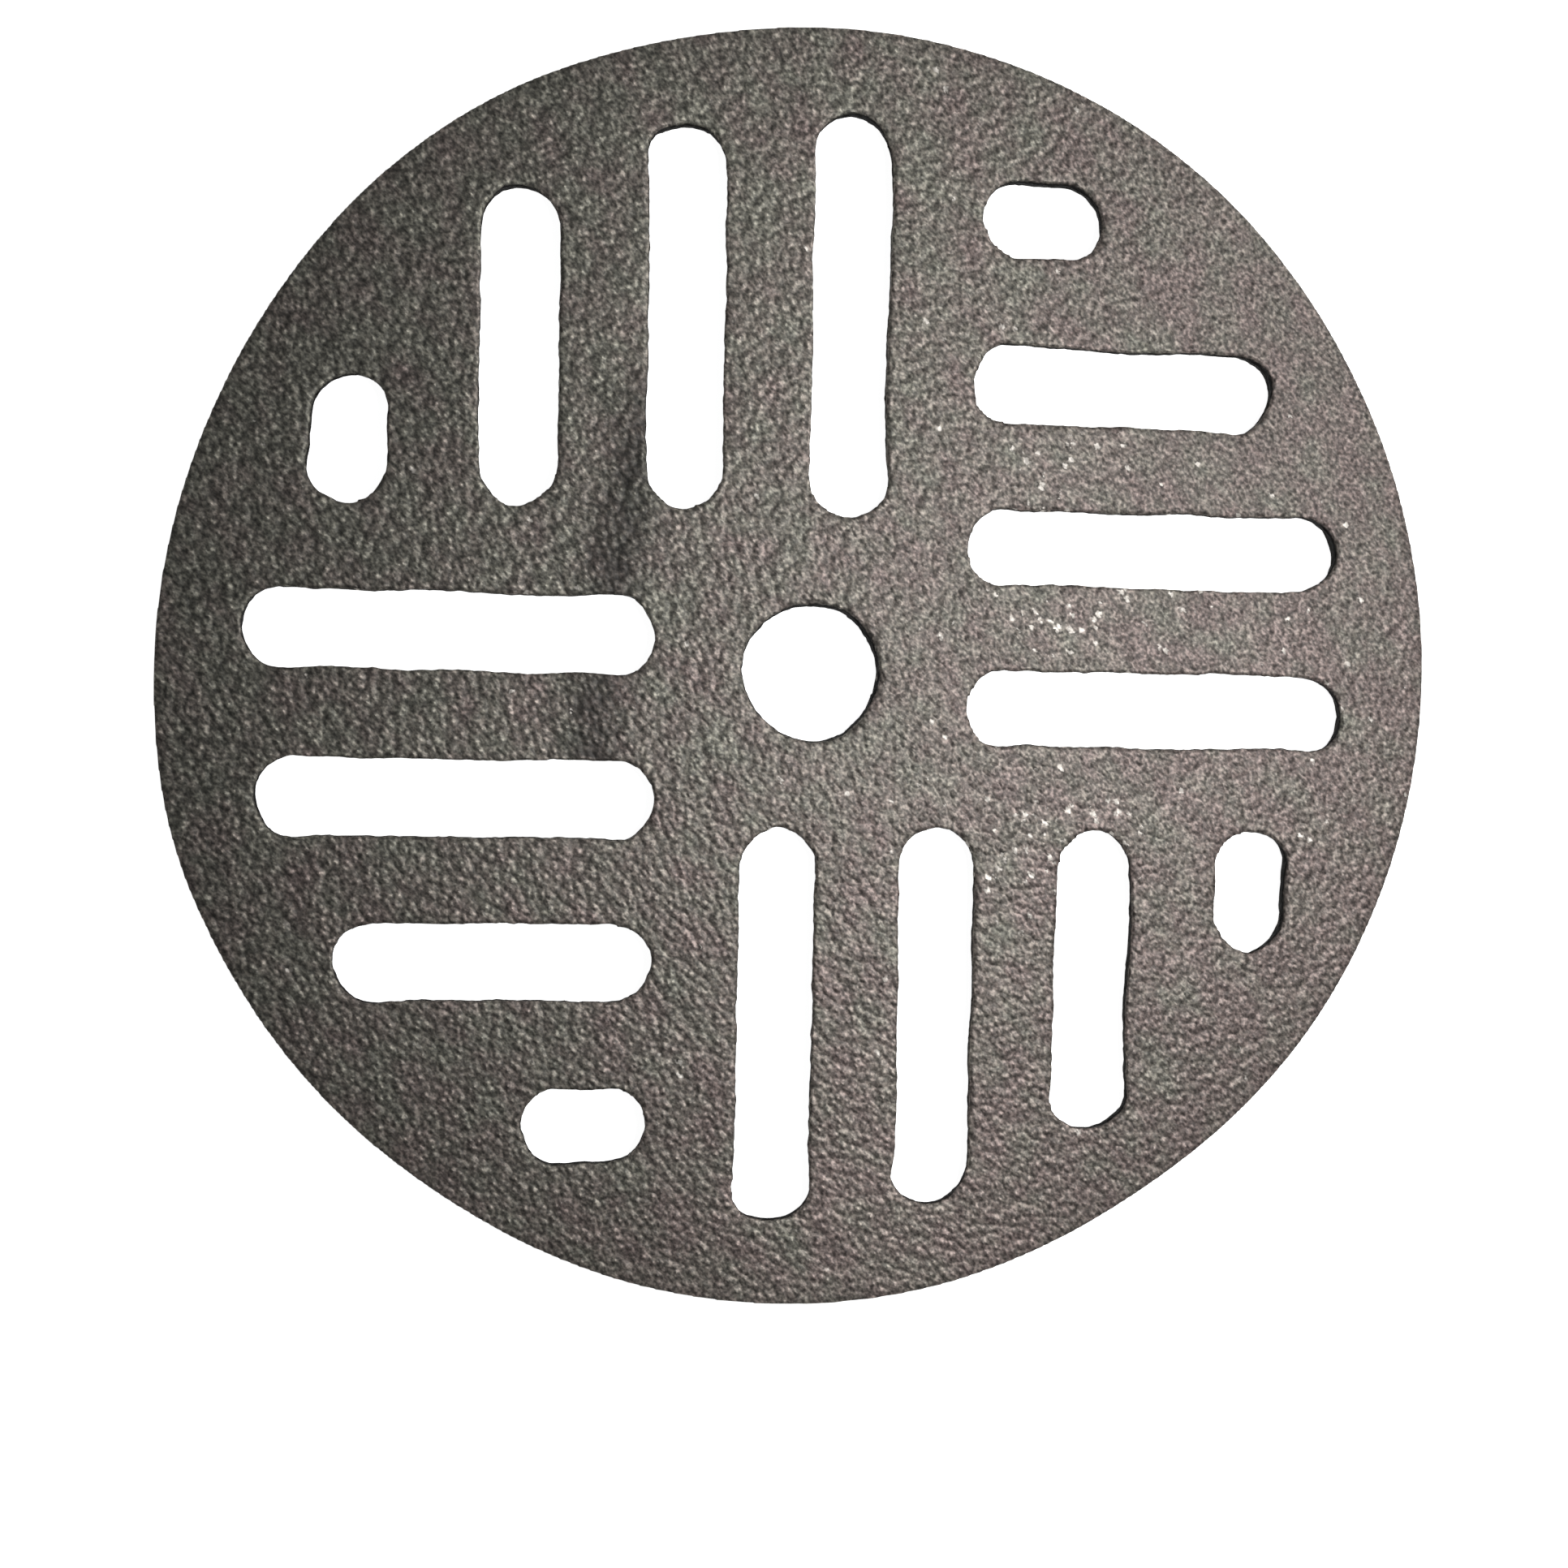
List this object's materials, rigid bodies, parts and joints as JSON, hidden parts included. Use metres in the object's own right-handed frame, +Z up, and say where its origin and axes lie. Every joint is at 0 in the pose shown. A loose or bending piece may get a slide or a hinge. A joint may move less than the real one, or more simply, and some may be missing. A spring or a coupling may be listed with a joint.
{
  "type": "slotted grate plate",
  "caption": "Flat round cast-iron grate plate with long slots in a pinwheel pattern around a centre hole, for a stove or a small drain.",
  "frame": {"origin": "centre of the flat underside", "axes": "+Z up through the plate and the centre hole, out of the upper face; the first slot group runs towards +Y; the slots are widest at the underside"},
  "size_m": [0.1999, 0.2, 0.005],
  "materials": {
    "cast_iron": "bare grey iron as it comes from the sand mould, matt and coarse-grained"
  },
  "bodies": {
    "root": {"grate_plate": "cast_iron"}
  },
  "joints": []
}
